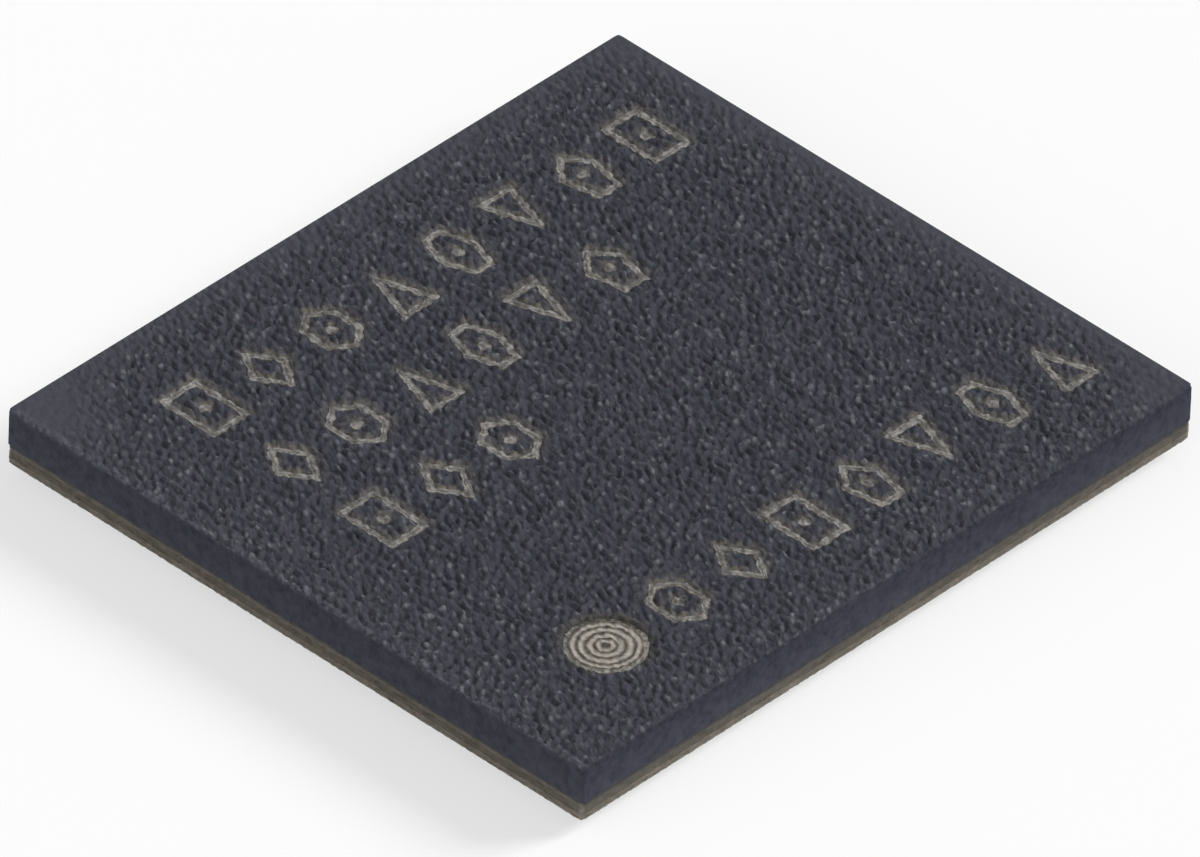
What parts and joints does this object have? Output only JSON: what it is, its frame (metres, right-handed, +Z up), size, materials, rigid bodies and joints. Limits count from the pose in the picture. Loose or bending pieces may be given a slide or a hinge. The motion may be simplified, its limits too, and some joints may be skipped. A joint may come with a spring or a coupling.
{
  "type": "rf transceiver chip",
  "caption": "Flat rectangular moulded transceiver chip with shallow laser marks on its top, on a thin layered substrate that stands on a grid of solder balls.",
  "frame": {"origin": "centre of the seating plane under the solder balls", "axes": "+Z up out of the marked top, +X along the rows of marks and the longer side, the round mark of the first contact near the -X, -Y corner"},
  "size_m": [0.0074, 0.0066, 0.0007],
  "materials": {
    "mould_compound": "matt, finely pitted dark grey silica-filled epoxy",
    "silicon": "ground grey silicon",
    "underfill_epoxy": "smooth dark epoxy",
    "solder_mask": "thin dark green film, half matt",
    "copper": "matt etched copper",
    "outer_laminate": "sawn pale glass-filled resin",
    "core_laminate": "sawn brown glass-cloth laminate",
    "solder": "satin tin alloy"
  },
  "bodies": {
    "root": {"mould_cap": "mould_compound", "silicon_die": "silicon", "underfill": "underfill_epoxy", "solder_mask_top": "solder_mask", "copper_top": "copper", "laminate_upper": "outer_laminate", "copper_inner_upper": "copper", "laminate_core": "core_laminate", "copper_inner_lower": "copper", "laminate_lower": "outer_laminate", "ball_grid": "solder", "solder_mask_bottom": "solder_mask"}
  },
  "joints": []
}
